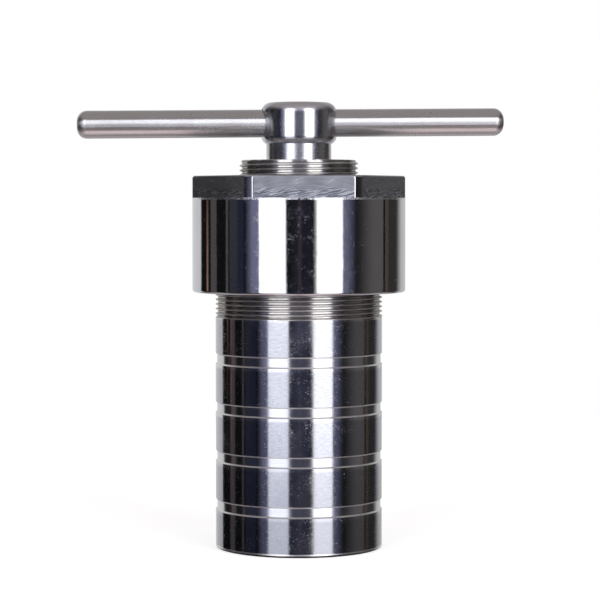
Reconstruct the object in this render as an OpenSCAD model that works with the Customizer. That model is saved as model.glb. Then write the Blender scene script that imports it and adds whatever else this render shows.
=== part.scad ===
// Hydrothermal reactor: a turned steel pressure vessel that holds a sealed PTFE cup.
// A screw cap threads over the vessel's rim. A press screw in the cap, turned by a
// T-bar, pushes a steel plate down on the cup's lid and so seals the cup.
// Millimetres. The vessel stands on z = 0 and every turned piece shares the Z axis.
// One flat of the cap's hexagon faces -Y.

/* [Vessel] */
// Outside diameter of the vessel, and of its thread
vessel_od = 72; // [68:0.5:80]
// Height of the vessel, from its base to its rim
vessel_h = 134; // [124:0.5:160]
// Bore that takes the liner cup
vessel_bore = 58; // [50:0.5:62]
// Thickness of the vessel's floor
vessel_floor = 12; // [8:0.5:20]
// Rounding of the edge that it stands on
foot_round = 1; // [0.4:0.1:2]
// Hole in the floor, for pushing the cup out
push_hole_d = 10; // [6:0.5:16]

/* [Grip grooves] */
// Number of turned grooves
groove_count = 4; // [1:1:4]
// Height of the lowest groove's middle
groove_low = 19; // [12:0.2:20]
// Distance from one groove to the next
groove_step = 21; // [14:0.2:24]
// Width of a groove at the surface
groove_w = 4.8; // [3:0.1:8]
// Depth of a groove, and width of each of its 45 degree shoulders
groove_depth = 0.6; // [0.3:0.05:1.4]

/* [Threads] */
// Length of the vessel's thread, down from the rim
vessel_thread_len = 34.6; // [28:0.2:42]
// Pitch of the thread between vessel and cap
vessel_pitch = 2; // [1.5:0.5:3]
// Pitch of the thread between cap and press screw
screw_pitch = 2; // [1.5:0.5:3]
// Radial gap between a thread's crests and the bore around it
thread_gap = 0.2; // [0.1:0.05:0.4]

/* [Liner] */
// Radial gap between the vessel's bore and what stands in it
bore_gap = 0.3; // [0.2:0.05:0.6]
// Thickness of the steel disc under the cup
disc_t = 3; // [2:0.5:6]
// Wall of the cup
cup_wall = 4; // [3:0.5:6]
// Floor of the cup
cup_floor = 8; // [5:0.5:14]
// Radius of the corner inside the cup, between wall and floor
cup_corner = 5; // [2:0.5:10]
// Depth of the cup's rim below the vessel's rim
cup_drop = 2; // [0:0.5:3.5]
// Thickness of the lid's disc
lid_t = 6; // [4:0.5:10]
// Length of the lid's plug inside the cup
plug_len = 5; // [3:0.5:12]
// Radial gap between the lid's plug and the cup
plug_gap = 0.3; // [0.2:0.05:0.6]
// Bevel on the edges of the liner pieces
liner_bevel = 0.8; // [0.3:0.1:1.2]

/* [Press plate] */
// Thickness of the plate between press screw and lid
plate_t = 6; // [5:0.5:10]
// Depth of the recess under the plate
recess_depth = 3; // [2.5:0.1:3.5]
// Room around the retaining ring in the recess
recess_room = 1.2; // [0.6:0.1:3]

/* [Cap] */
// Outside diameter of the cap
cap_od = 92; // [88:0.5:104]
// Height of the cap
cap_h = 50.1; // [44:0.1:56]
// Thickness of the cap's end wall
cap_end = 12.3; // [10:0.1:16]
// Size of the hexagon, across its flats
hex_flats = 81.5; // [76:0.5:86]
// Height of the hexagon
hex_h = 9.5; // [6:0.5:12]
// Bevel along the top of the hexagon
hex_bevel = 0.8; // [0.3:0.1:2]
// Rounding of the cap's outer edges
cap_round = 1.2; // [0.4:0.1:2]
// Room between the vessel's rim and the step inside the cap
rim_room = 4; // [2:0.5:6]
// Room around the press plate inside the cap
plate_room = 3.3; // [1:0.1:5]
// Depth of the thread relief inside the cap
relief_depth = 1; // [0.5:0.1:2]
// Bevel at the mouths of the cap
cap_bevel = 1.2; // [0.5:0.1:2]

/* [Press screw] */
// Outside diameter of the press screw's thread
screw_od = 51.2; // [44:0.2:56]
// Height of thread that stands above the cap
screw_stand = 6.7; // [4:0.1:12]
// Distance that the screw backs off before its plate meets the cap
screw_travel = 4; // [2:0.5:8]
// Gap that is left between plate and cap at that point
stop_gap = 0.4; // [0.2:0.1:1]
// Diameter of the neck
neck_d = 28; // [24:0.5:29.5]
// Height of the neck
neck_h = 7; // [4:0.1:12]
// Diameter of the head
head_d = 32.5; // [31:0.5:40]
// Height of the head
head_h = 17.8; // [17:0.1:24]
// Rounding of the head's top edge
head_round = 4.4; // [1:0.1:6]
// Radius of the head's lower edge
head_foot_round = 3.4; // [2:0.1:4]
// Height of the head's lower edge curve, less than its radius
head_foot_h = 3.2; // [2:0.1:3.4]
// Diameter of the nose that carries the plate
nose_d = 16; // [12:0.5:20]
// Depth of the retaining ring's groove in the nose
ring_seat = 0.4; // [0.3:0.1:0.8]

/* [Retaining ring] */
// Thickness of the ring
ring_t = 1; // [0.8:0.1:1.2]
// Width of the ring opposite its gap
ring_w = 2.4; // [1.8:0.1:3]
// Width of the gap between its ends
ring_gap = 2.6; // [2:0.1:4]
// Diameter of each eye for the pliers
eye_d = 1.7; // [1.2:0.1:2]
// Axial play of the ring under the plate
ring_play = 0.2; // [0.1:0.05:0.4]

/* [T-bar] */
// Diameter of the bar
bar_d = 12; // [8:0.5:13]
// Length of the bar
bar_len = 185; // [140:1:220]
// Distance of the bar's middle from the head's axis, towards -X
bar_shift = 2.9; // [0:0.1:20]
// Diameter of the flat tip at each rounded end
bar_tip_d = 3.4; // [1:0.1:5]
// Angle that the head and bar have turned from the X axis
bar_turn = 4; // [0:1:90]
// Radial gap between the bar and its hole
bar_gap = 0.3; // [0.2:0.05:0.5]
// Least gap at the hole's mouths, where the tipped bar comes closest
bar_rest_gap = 0.13; // [0.05:0.01:0.18]

/* [Hidden] */
$fn = 128;

// How far a cutter runs past the face that it opens
over = 1;
// ISO metric thread form, as shares of the pitch
thread_depth_share = 0.5413;
crest_share = 1 / 8;
root_share = 1 / 4;
// Width that the ring's groove has beyond the ring's thickness
seat_slack = 0.1;
// Depth of the nose's end above the plate's underside
nose_lift = 0.6;
// Distance of each plier eye from the ring's inner edge, and metal around it
eye_wall = 0.9;

// Heights of the stack, from the base up
disc_z = vessel_floor;
cup_z = disc_z + disc_t;
cup_rim_z = vessel_h - cup_drop;
lid_top_z = cup_rim_z + lid_t;
plate_top_z = lid_top_z + plate_t;
web_z = lid_top_z + recess_depth;
ceiling_z = plate_top_z + screw_travel + stop_gap;
cap_top_z = ceiling_z + cap_end;
cap_z = cap_top_z - cap_h;
hex_z = cap_top_z - hex_h;
neck_z = cap_top_z + screw_stand;
head_z = neck_z + neck_h;
head_top_z = head_z + head_h;
hole_z = head_z + head_h / 2;
vessel_thread_z = vessel_h - vessel_thread_len;

// Diameters that follow from their neighbours
cup_od = vessel_bore - 2 * bore_gap;
cup_id = cup_od - 2 * cup_wall;
plug_d = cup_id - 2 * plug_gap;
cap_bore = vessel_od + 2 * thread_gap;
chamber_d = cup_od + 2 * plate_room;
screw_bore = screw_od + 2 * thread_gap;
seat_d = nose_d - 2 * ring_seat;
nose_hole_d = nose_d + 2 * bore_gap;
eye_r = eye_d / 2 + eye_wall;
eye_reach = seat_d / 2 + eye_r;
recess_d = 2 * (eye_reach + eye_r + recess_room);
bar_end_round = (bar_d - bar_tip_d) / 2;
bar_hole_d = bar_d + 2 * bar_gap;
bar_droop = atan(2 * (bar_gap - bar_rest_gap) / head_d);

// Points of an arc, from one angle to another
function arc(x, y, r, from, to, steps = 8) =
    [for (i = [0:steps]) let (a = from + (to - from) * i / steps) [x + r * cos(a), y + r * sin(a)]];

// Outline of a thread's ridges, as rings: the fine helix is the same form with a lead
function ridges(d, pitch, low, high) =
    let (crest = d / 2, root = crest - thread_depth_share * pitch, count = floor((high - low) / pitch))
    [for (k = [0:count - 1])
        let (z = low + k * pitch, root_half = root_share * pitch / 2, crest_half = crest_share * pitch / 2)
        each [
            [root, z + root_half],
            [crest, z + pitch / 2 - crest_half],
            [crest, z + pitch / 2 + crest_half],
            [root, z + pitch - root_half]
        ]];

// Radius at the bottom of a thread
function root_r(d, pitch) = d / 2 - thread_depth_share * pitch;

// Outline of one grip groove around height z
function groove(z) = [
    [vessel_od / 2, z - groove_w / 2],
    [vessel_od / 2 - groove_depth, z - groove_w / 2 + groove_depth],
    [vessel_od / 2 - groove_depth, z + groove_w / 2 - groove_depth],
    [vessel_od / 2, z + groove_w / 2]
];

// Disc of diameter d between two heights, with both edges bevelled
module bevelled_disc(d, low, high, bevel) {
    rotate_extrude()
        polygon([
            [0, low], [d / 2 - bevel, low], [d / 2, low + bevel],
            [d / 2, high - bevel], [d / 2 - bevel, high], [0, high]
        ]);
}

// Cone that bevels the mouth of a hole: it opens from height z along dir, 1 up or -1 down
module mouth(d, z, bevel, dir) {
    rotate_extrude()
        polygon([
            [0, z], [d / 2 + bevel, z], [d / 2, z - dir * bevel], [0, z - dir * bevel]
        ]);
}

module vessel_body() {
    wall = vessel_od / 2;
    outline = concat(
        [[0, 0]],
        arc(wall - foot_round, foot_round, foot_round, -90, 0),
        [for (i = [0:groove_count - 1]) each groove(groove_low + i * groove_step)],
        [[wall, vessel_thread_z]],
        ridges(vessel_od, vessel_pitch, vessel_thread_z, vessel_h),
        [[root_r(vessel_od, vessel_pitch), vessel_h], [0, vessel_h]]
    );
    color([0.62, 0.62, 0.65])
        difference() {
            rotate_extrude() polygon(outline);
            translate([0, 0, vessel_floor]) cylinder(d = vessel_bore, h = vessel_h - vessel_floor + over);
            translate([0, 0, -over]) cylinder(d = push_hole_d, h = vessel_floor + 2 * over);
            mouth(vessel_bore, vessel_h, liner_bevel, 1);
        }
}

module bottom_disc() {
    color([0.7, 0.7, 0.72]) bevelled_disc(cup_od, disc_z, cup_z, disc_t / 6);
}

module liner_cup() {
    inner_floor_z = cup_z + cup_floor;
    color([0.95, 0.95, 0.93])
        difference() {
            bevelled_disc(cup_od, cup_z, cup_rim_z, liner_bevel);
            rotate_extrude()
                polygon(concat(
                    [[0, inner_floor_z]],
                    arc(cup_id / 2 - cup_corner, inner_floor_z + cup_corner, cup_corner, -90, 0),
                    [[cup_id / 2, cup_rim_z + over], [0, cup_rim_z + over]]
                ));
            mouth(cup_id, cup_rim_z, liner_bevel, 1);
        }
}

module liner_lid() {
    color([0.95, 0.95, 0.93]) {
        bevelled_disc(cup_od, cup_rim_z, lid_top_z, liner_bevel);
        bevelled_disc(plug_d, cup_rim_z - plug_len, cup_rim_z + lid_t / 2, liner_bevel);
    }
}

module press_plate() {
    color([0.7, 0.7, 0.72])
        difference() {
            bevelled_disc(cup_od, lid_top_z, plate_top_z, liner_bevel);
            translate([0, 0, lid_top_z - over]) cylinder(d = recess_d, h = recess_depth + over);
            translate([0, 0, lid_top_z]) cylinder(d = nose_hole_d, h = plate_t + over);
        }
}

// Open spring ring with an eye at each end. Its band thins from the back to the ends.
module retaining_ring() {
    band_r = seat_d / 2 + ring_w;
    // The outer edge is shifted back, so that the band is half as wide at the ends
    shift = ring_w / 4;
    eye_turn = asin((ring_gap / 2 + eye_r) / eye_reach);
    color([0.45, 0.45, 0.48])
        translate([0, 0, web_z - ring_play - ring_t])
        linear_extrude(height = ring_t)
        difference() {
            union() {
                translate([-shift, 0]) circle(r = band_r - shift);
                for (side = [-1, 1]) rotate(side * eye_turn) translate([eye_reach, 0]) circle(r = eye_r);
            }
            circle(d = seat_d);
            translate([0, -ring_gap / 2]) square([eye_reach + 2 * eye_r, ring_gap]);
            for (side = [-1, 1]) rotate(side * eye_turn) translate([eye_reach, 0]) circle(d = eye_d);
        }
}

module screw_cap() {
    wall = cap_od / 2;
    step_z = vessel_h + rim_room;
    color([0.62, 0.62, 0.65])
        difference() {
            rotate_extrude()
                polygon(concat(
                    [[0, cap_z]],
                    arc(wall - cap_round, cap_z + cap_round, cap_round, -90, 0),
                    arc(wall - cap_round, cap_top_z - cap_round, cap_round, 0, 90),
                    [[0, cap_top_z]]
                ));
            // Threaded bore, its relief, and the chamber over it that holds the plate
            translate([0, 0, cap_z - over]) cylinder(d = cap_bore, h = step_z - cap_z + over);
            translate([0, 0, vessel_h]) cylinder(d = cap_bore + 2 * relief_depth, h = rim_room);
            translate([0, 0, step_z - over]) cylinder(d = chamber_d, h = ceiling_z - step_z + over);
            translate([0, 0, ceiling_z - over]) cylinder(d = screw_bore, h = cap_end + 2 * over);
            mouth(cap_bore, cap_z, cap_bevel, -1);
            mouth(screw_bore, cap_top_z, cap_bevel, 1);
            for (i = [0:5]) rotate(i * 60 - 90) {
                translate([hex_flats / 2, -cap_od / 2, hex_z]) cube([cap_od, cap_od, hex_h + over]);
                translate([hex_flats / 2, 0, cap_top_z]) rotate([0, 45, 0])
                    cube([4 * hex_bevel, cap_od, sqrt(2) * hex_bevel], center = true);
            }
        }
}

module press_screw() {
    head_r = head_d / 2;
    nose_r = nose_d / 2;
    nose_z = lid_top_z + nose_lift;
    seat_z = web_z - ring_play - ring_t;
    foot_start = acos(head_foot_h / head_foot_round);
    outline = concat(
        [
            [0, nose_z], [nose_r, nose_z], [nose_r, seat_z],
            [seat_d / 2, seat_z], [seat_d / 2, seat_z + ring_t + seat_slack],
            [nose_r, seat_z + ring_t + seat_slack], [nose_r, plate_top_z],
            [root_r(screw_od, screw_pitch), plate_top_z]
        ],
        ridges(screw_od, screw_pitch, plate_top_z, neck_z),
        [[root_r(screw_od, screw_pitch), neck_z], [neck_d / 2, neck_z], [neck_d / 2, head_z]],
        arc(head_r - head_foot_round, head_z + head_foot_h, head_foot_round, foot_start - 90, 0),
        arc(head_r - head_round, head_top_z - head_round, head_round, 0, 90),
        [[0, head_top_z]]
    );
    color([0.66, 0.66, 0.68])
        difference() {
            rotate_extrude() polygon(outline);
            translate([0, 0, hole_z]) rotate([0, 0, bar_turn]) rotate([0, 90, 0])
                cylinder(d = bar_hole_d, h = head_d + 2 * over, center = true);
        }
}

module t_bar() {
    bar_r = bar_d / 2;
    round_r = bar_end_round;
    color([0.6, 0.57, 0.55])
        translate([0, 0, hole_z])
        rotate([0, 0, bar_turn])
        rotate([0, 90 - bar_droop, 0])
        translate([0, 0, -bar_len / 2 - bar_shift])
        rotate_extrude()
            polygon(concat(
                [[0, 0]],
                arc(bar_r - round_r, round_r, round_r, -90, 0),
                arc(bar_r - round_r, bar_len - round_r, round_r, 0, 90),
                [[0, bar_len]]
            ));
}

vessel_body();
bottom_disc();
liner_cup();
liner_lid();
press_plate();
retaining_ring();
screw_cap();
press_screw();
t_bar();
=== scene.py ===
import math

import bmesh
import bpy
import numpy as np
from mathutils import Matrix, Vector


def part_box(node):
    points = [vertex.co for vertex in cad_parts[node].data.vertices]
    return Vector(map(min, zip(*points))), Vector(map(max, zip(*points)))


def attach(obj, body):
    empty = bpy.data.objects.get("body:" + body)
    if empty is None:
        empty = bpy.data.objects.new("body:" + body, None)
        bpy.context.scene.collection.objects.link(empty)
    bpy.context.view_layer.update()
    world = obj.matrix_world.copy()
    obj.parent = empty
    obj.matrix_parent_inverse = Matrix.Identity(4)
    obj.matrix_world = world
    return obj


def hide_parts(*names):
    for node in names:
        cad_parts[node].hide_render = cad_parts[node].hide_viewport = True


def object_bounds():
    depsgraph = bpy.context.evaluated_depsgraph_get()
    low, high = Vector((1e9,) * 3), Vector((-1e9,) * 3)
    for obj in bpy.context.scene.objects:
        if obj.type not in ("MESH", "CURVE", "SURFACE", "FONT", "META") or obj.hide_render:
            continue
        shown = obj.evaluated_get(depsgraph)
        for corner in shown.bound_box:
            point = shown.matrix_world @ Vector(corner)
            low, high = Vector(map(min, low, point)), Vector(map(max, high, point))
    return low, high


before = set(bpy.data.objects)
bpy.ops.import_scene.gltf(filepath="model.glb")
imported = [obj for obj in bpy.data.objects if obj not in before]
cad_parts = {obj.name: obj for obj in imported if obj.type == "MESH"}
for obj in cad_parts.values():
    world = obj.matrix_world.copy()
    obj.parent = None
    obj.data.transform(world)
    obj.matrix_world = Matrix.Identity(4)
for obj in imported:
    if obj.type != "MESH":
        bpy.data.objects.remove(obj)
cad_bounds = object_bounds()
scene = bpy.context.scene

# ---------------------------------------------------------------------------
# The studio. A camera at bench height looks at the reactor through a long lens.
# Two tall softboxes stand left and right of it, a white backdrop closes the rear,
# and the rest of the room is dark. Polished steel shows all of this as upright bands.
# ---------------------------------------------------------------------------
camera_distance = 1.009
camera_height = 0.150
camera_azimuth = -2.9
aim_point = Vector((0.0005, 0.0, 0.1070))
lens_mm = 140.0
sensor_mm = 36
nearest_view = 0.05

camera = bpy.data.objects.new("camera", bpy.data.cameras.new("camera"))
scene.collection.objects.link(camera)
camera.data.lens = lens_mm
camera.data.sensor_width = sensor_mm
camera.data.clip_start = nearest_view
camera.location = (
    camera_distance * math.sin(math.radians(camera_azimuth)),
    -camera_distance * math.cos(math.radians(camera_azimuth)),
    camera_height,
)
camera.rotation_euler = (aim_point - camera.location).to_track_quat("-Z", "Y").to_euler()
scene.camera = camera
scene.view_settings.view_transform = "Standard"


class Nodes:
    """Adds and links the nodes of one material, world or group. A value may be a number, a
    colour, a socket or a node, and a node stands for its first output."""

    def __init__(self, tree):
        self.tree = tree

    def add(self, kind, settings=None, **inputs):
        node = self.tree.nodes.new(kind)
        for key, value in (settings or {}).items():
            setattr(node, key, value)
        for key, value in inputs.items():
            self.put(node, key.replace("_", " "), value)
        return node

    def put(self, node, socket, value):
        target = node.inputs[int(socket)] if socket.isdigit() else node.inputs[socket]
        if isinstance(value, bpy.types.NodeSocket):
            self.tree.links.new(value, target)
        elif isinstance(value, bpy.types.Node):
            self.tree.links.new(value.outputs[0], target)
        else:
            target.default_value = value

    def math(self, operation, a, b=0.0, c=0.0):
        node = self.add("ShaderNodeMath", {"operation": operation})
        for slot, value in enumerate((a, b, c)):
            self.put(node, str(slot), value)
        return node.outputs[0]

    def ramp(self, value, low, high, to_low=0.0, to_high=1.0):
        """A smooth step from to_low at low to to_high at high."""
        node = self.add("ShaderNodeMapRange", {"interpolation_type": "SMOOTHSTEP"})
        for slot, number in enumerate((value, low, high, to_low, to_high)):
            self.put(node, str(slot), number)
        return node.outputs[0]

    def window(self, value, rise_from, rise_to, fall_from, fall_to):
        """1 inside a range and 0 outside it, with a smooth edge at each end."""
        rise = self.ramp(value, rise_from, rise_to)
        fall = self.ramp(value, fall_from, fall_to, 1.0, 0.0)
        return self.math("MULTIPLY", rise, fall)

    def blend(self, share, first, second):
        """The first colour where the share is 0, the second where it is 1."""
        node = self.add("ShaderNodeMix", {"data_type": "RGBA"})
        for slot, value in (("0", share), ("6", first), ("7", second)):
            self.put(node, slot, value)
        return node.outputs[2]


# Each part of the studio as the steel sees it, with its light. The directions that it
# fills are in degrees: first around, from the front (-Y) and positive to the right,
# then upward. It rises from the first to the second and fades from the third to the last.
softbox_reach = (-23.5, -17.5, 30, 42)
all_round = (-200, -190, 190, 200)
bench_reach = (-95, -91, -57, -48)
on_bench = (-95, -91, -22, -16)
softbox_top = (-4.8, -2.6, 30, 42)
wall_reach = (-26, -18, 30, 44)
low_reach = (-16, -12, -3.6, -2.4)
studio = {
    "left_softbox": ((-46.9, -44.2, -18.4, -15.4), softbox_reach, (1.25, 1.29, 1.44)),
    "left_softbox_top": ((-47.4, -44.6, -18.4, -15.4), softbox_top, (0.9, 0.88, 0.8)),
    "left_glow": ((-63, -52, -46.4, -44), softbox_reach, (0.13, 0.135, 0.21)),
    "left_glow_top": ((-63, -52, -46, -44), softbox_top, (0.08, 0.08, 0.11)),
    "right_softbox": ((14.2, 20, 42.6, 46), softbox_reach, (2.0, 2.01, 2.12)),
    "right_softbox_top": ((11.8, 17, 42.6, 46), softbox_top, (0.7, 0.7, 0.6)),
    "left_softbox_on_bench": ((-47.4, -44.6, -18.4, -15.4), on_bench, (0.50, 0.46, 0.46)),
    "right_softbox_on_bench": ((11.8, 17, 42.6, 46), on_bench, (0.50, 0.46, 0.46)),
    "right_glow": ((42, 45, 46, 63), softbox_reach, (0.17, 0.175, 0.26)),
    "camera_stand": ((-4.2, -3.2, -0.4, 0.6), wall_reach, (0.034, 0.018, 0.02)),
    "camera_haze": ((-12, -6, 8, 14), wall_reach, (0.008, 0.009, 0.015)),
    "front_floor": ((-18, -12, 8, 14), low_reach, (0.038, 0.042, 0.072)),
    "front_wall": ((-22, -15, 15, 22), (0, 2.2, 30, 44), (0.14, 0.142, 0.21)),
    "front_ceiling": ((-28, -20, 20, 28), (5, 10, 30, 44), (0.22, 0.22, 0.26)),
    "left_softbox_high": ((-47.4, -44.6, -18.4, -15.4), (4, 9, 30, 39), (0.9, 0.9, 0.95)),
    "right_softbox_high": ((11.8, 17, 42.6, 46), (4, 9, 30, 39), (0.9, 0.9, 0.95)),
    "left_panel": ((-83, -81, -66, -62), wall_reach, (0.014, 0.018, 0.036)),
    "left_panel_top": ((-86, -82, -74, -70), (-2.8, -2, 35, 50), (0.024, 0.02, 0.012)),
    "left_panel_edge": ((-88.2, -87.2, -85.3, -84.3), wall_reach, (0.09, 0.085, 0.09)),
    "left_door": ((-113.5, -111.5, -103, -101.2), wall_reach, (0.09, 0.078, 0.08)),
    "left_lamp": ((-121.5, -120, -118, -116.5), (-3.4, -2.6, -2, 1.5), (0.30, 0.18, 0.12)),
    "left_lamp_foot": ((-112.5, -111, -109.5, -108), (-6.5, -4.5, -3.4, -2.6), (0.17, 0.07, 0.02)),
    "right_wall": ((56, 88, 99, 101), wall_reach, (0.115, 0.108, 0.106)),
    "right_panel": ((102.5, 104, 108.5, 110.5), wall_reach, (0.09, 0.068, 0.052)),
    "right_curtain": ((109, 111, 124, 128), wall_reach, (0.035, 0.03, 0.028)),
    "bench": (all_round, bench_reach, (0.31, 0.28, 0.27)),
    "bench_front": ((-110, -80, 80, 110), bench_reach, (0.32, 0.245, 0.245)),
    "bench_left": ((-200, -190, -115, -95), (-62, -48, -36, -20), (0.42, 0.41, 0.42)),
    "bench_right": ((95, 115, 190, 200), (-62, -48, -36, -20), (0.42, 0.41, 0.42)),
    "bench_edge": (all_round, (-95, -91, -24, -17), (0.09, 0.07, 0.075)),
}
# The white backdrop behind the reactor: how far round it reaches on each side, and how
# much of it the steel shows there.
backdrop_reach = (-26, -18, 28, 45)
backdrop_sides = [((-200, -190, -136, -131.5), 0.76), ((123.5, 146, 190, 200), 0.63)]
room_light = (0.008, 0.008, 0.009, 1)
ceiling_light = (0.37, 0.34, 0.34, 1)
ceiling_from, ceiling_full = 30, 44

world = bpy.data.worlds.new("studio")
scene.world = world
world.use_nodes = True
world.node_tree.nodes.clear()
sky = Nodes(world.node_tree)
direction = sky.add("ShaderNodeSeparateXYZ", Vector=sky.add("ShaderNodeTexCoord").outputs["Generated"])
toward_front = sky.math("MULTIPLY", direction.outputs["Y"], -1.0)
around = sky.math("DEGREES", sky.math("ARCTAN2", direction.outputs["X"], toward_front))
upward = sky.math("DEGREES", sky.math("ARCSINE", direction.outputs["Z"]))
light = sky.add("ShaderNodeRGB")
light.outputs[0].default_value = room_light
light = light.outputs[0]
for directions, heights, colour in studio.values():
    part = sky.add("ShaderNodeVectorMath", {"operation": "SCALE"})
    part.inputs[0].default_value = colour
    filled = sky.math("MULTIPLY", sky.window(around, *directions), sky.window(upward, *heights))
    sky.put(part, "Scale", filled)
    total = sky.add("ShaderNodeVectorMath", {"operation": "ADD"})
    sky.put(total, "0", light)
    sky.put(total, "1", part)
    light = total.outputs[0]
light = sky.blend(sky.ramp(upward, ceiling_from, ceiling_full), light, ceiling_light)
white = sky.add("ShaderNodeBackground", Color=(1, 1, 1, 1), Strength=1.0)
room = sky.add("ShaderNodeBackground", Color=light, Strength=1.0)
backdrop = 0.0
for directions, share in backdrop_sides:
    backdrop = sky.math("MULTIPLY_ADD", sky.window(around, *directions), share, backdrop)
backdrop = sky.math("MULTIPLY", backdrop, sky.window(upward, *backdrop_reach))
rays = sky.add("ShaderNodeLightPath").outputs
mirrored = sky.math("MAXIMUM", rays["Is Glossy Ray"], rays["Is Transmission Ray"])
seen = sky.math("MAXIMUM", rays["Is Camera Ray"], sky.math("MULTIPLY", mirrored, backdrop))
mixed = sky.add("ShaderNodeMixShader")
for slot, value in enumerate((seen, room, white)):
    sky.put(mixed, str(slot), value)
sky.add("ShaderNodeOutputWorld", Surface=mixed)

# The bench top: a matt white disc, wide enough for the soft shadow under the reactor.
# The steel doesn't mirror it, so that the walls show the dark room down to the foot.
bench_radius = 0.6
bench_segments = 96
bench_gap = 0.0002
bench_colour = (0.86, 0.86, 0.86, 1)
bench_roughness = 0.9
bench_glow = 0.70
bench_mesh = bmesh.new()
bmesh.ops.create_circle(bench_mesh, cap_ends=True, segments=bench_segments, radius=bench_radius)
bench = bpy.data.objects.new("bench_top", bpy.data.meshes.new("bench_top"))
bench_mesh.to_mesh(bench.data)
bench_mesh.free()
scene.collection.objects.link(bench)
bench.location.z = cad_bounds[0].z - bench_gap
bench.visible_glossy = False
bench_paint = bpy.data.materials.new("bench_paint")
bench_paint.use_nodes = True
bench_paint.node_tree.nodes.clear()
paint = Nodes(bench_paint.node_tree)
matt = paint.add("ShaderNodeBsdfPrincipled", Roughness=bench_roughness)
paint.put(matt, "Base Color", bench_colour)
paint.put(matt, "Emission Color", (1, 1, 1, 1))
rays = paint.add("ShaderNodeLightPath").outputs
seen = paint.math("MAXIMUM", rays["Is Camera Ray"], rays["Is Glossy Ray"])
seen = paint.math("MAXIMUM", seen, rays["Is Transmission Ray"])
paint.put(matt, "Emission Strength", paint.math("MULTIPLY", seen, bench_glow))
paint.add("ShaderNodeOutputMaterial", Surface=matt)
bench.data.materials.append(bench_paint)

# ---------------------------------------------------------------------------
# The vessel: one turning of stainless steel, bored from the top, with four shallow
# grip grooves and a right-hand thread under the rim. The lands between the grooves
# are buffed over fine turning marks, and the thread is left as it was cut.
# ---------------------------------------------------------------------------
turn_steps = 288
columns = np.linspace(0, 2 * math.pi, turn_steps, endpoint=False)
thread_depth_share = 0.5413
# One ridge of a thread: share of the pitch, and share of the depth below the crest.
thread_form = [
    (0.10, 1), (0.15, 0.93), (0.41, 0.08), (0.45, 0),
    (0.55, 0), (0.59, 0.08), (0.85, 0.93), (0.90, 1),
]
# Points closer together than this are one point, and edges that turn more than this are
# sharp. Above a weight of 50, large faces set the shading of the small ones beside them.
weld = 2e-6
sharp_angle = math.radians(28)
large_face_weight = 90


def ring(radius, z, angles=columns):
    """Closed ring of points about the Z axis. Radius and height may vary with the angle."""
    return np.column_stack([radius * np.cos(angles), radius * np.sin(angles), z + 0 * angles])


def plain(*outline, angles=columns):
    """Rings of a turned surface, from the (radius, height) points of its outline."""
    return {"rings": [ring(radius, z, angles) for radius, z in outline], "lead": 0}


def arc(radius, z, size, start, end, steps=7):
    """Outline points of a rounded edge, from one angle to another, in degrees."""
    turns = np.radians(np.linspace(start, end, steps + 1))
    return [(radius + size * math.cos(t), z + size * math.sin(t)) for t in turns]


def thread(crest, pitch, start, low, high, trim, angles=columns):
    """Rings of a right-hand thread. Its ridges are counted from height start, and trim
    shapes its two ends. Each ring climbs one pitch a turn, so it closes on a later one."""
    depth = thread_depth_share * pitch
    first = math.floor((low - start) / pitch) - 1
    last = math.ceil((high - start) / pitch)
    rings = []
    for ridge in range(first, last + 1):
        for share, drop in thread_form:
            z = np.clip(start + pitch * (ridge + share + angles / (2 * math.pi)), low, high)
            rings.append(ring(trim(crest - depth * drop, z), z, angles))
    return {"rings": rings, "lead": len(thread_form)}


def turned(name, parts, closed):
    """Skins the rings of all parts, in order, into one smooth-shaded mesh object."""
    rings, seam = [], []
    for part in parts:
        first, last = len(rings), len(rings) + len(part["rings"]) - 1
        seam += [min(max(row + part["lead"], first), last) for row in range(first, last + 1)]
        rings += part["rings"]
    count, rows = len(rings[0]), len(rings)
    mesh = bmesh.new()
    verts = [mesh.verts.new(point) for point in np.concatenate(rings)]

    def corner(row, column):
        row %= rows
        return verts[row * count + column] if column < count else verts[seam[row] * count]

    for row in range(rows if closed else rows - 1):
        for column in range(count):
            corners = [corner(row, column), corner(row, column + 1),
                       corner(row + 1, column + 1), corner(row + 1, column)]
            if len(set(corners)) == 4:
                mesh.faces.new(corners)
    bmesh.ops.remove_doubles(mesh, verts=mesh.verts, dist=weld)
    bmesh.ops.dissolve_degenerate(mesh, edges=mesh.edges, dist=weld)
    return finished(name, mesh)


def finished(name, mesh):
    """Turns a bmesh into a linked object with smooth faces and sharp machined edges."""
    bmesh.ops.recalc_face_normals(mesh, faces=mesh.faces)
    for face in mesh.faces:
        face.smooth = True
    for edge in mesh.edges:
        edge.smooth = len(edge.link_faces) == 2 and edge.calc_face_angle() < sharp_angle
    piece = bpy.data.objects.new(name, bpy.data.meshes.new(name))
    mesh.to_mesh(piece.data)
    mesh.free()
    scene.collection.objects.link(piece)
    level = piece.modifiers.new("level", "WEIGHTED_NORMAL")
    level.keep_sharp = True
    level.weight = large_face_weight
    return piece


vessel_low, vessel_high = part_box("vessel_body")
vessel_r = vessel_high.x
vessel_bore_r = 0.029
vessel_floor_z = 0.012
push_hole_r = 0.005
foot_round = 0.001
groove_low = 0.019
groove_step = 0.021
groove_count = 4
groove_middles = [groove_low + groove_step * k for k in range(groove_count)]
groove_half = 0.0024
groove_depth = 0.0006
vessel_pitch = 0.002
vessel_thread_length = 0.0346
vessel_thread_low = vessel_high.z - vessel_thread_length
run_out_share = 0.8
root_room = 0.0002
rim_bevel = 0.0008

outline = [(push_hole_r, vessel_low.z), *arc(vessel_r - foot_round, foot_round, foot_round, -90, 0)]
for middle in groove_middles:
    outline += [
        (vessel_r, middle - groove_half),
        (vessel_r - groove_depth, middle - groove_half + groove_depth),
        (vessel_r - groove_depth, middle + groove_half - groove_depth),
        (vessel_r, middle + groove_half),
    ]
outline.append((vessel_r, vessel_thread_low))


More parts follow.
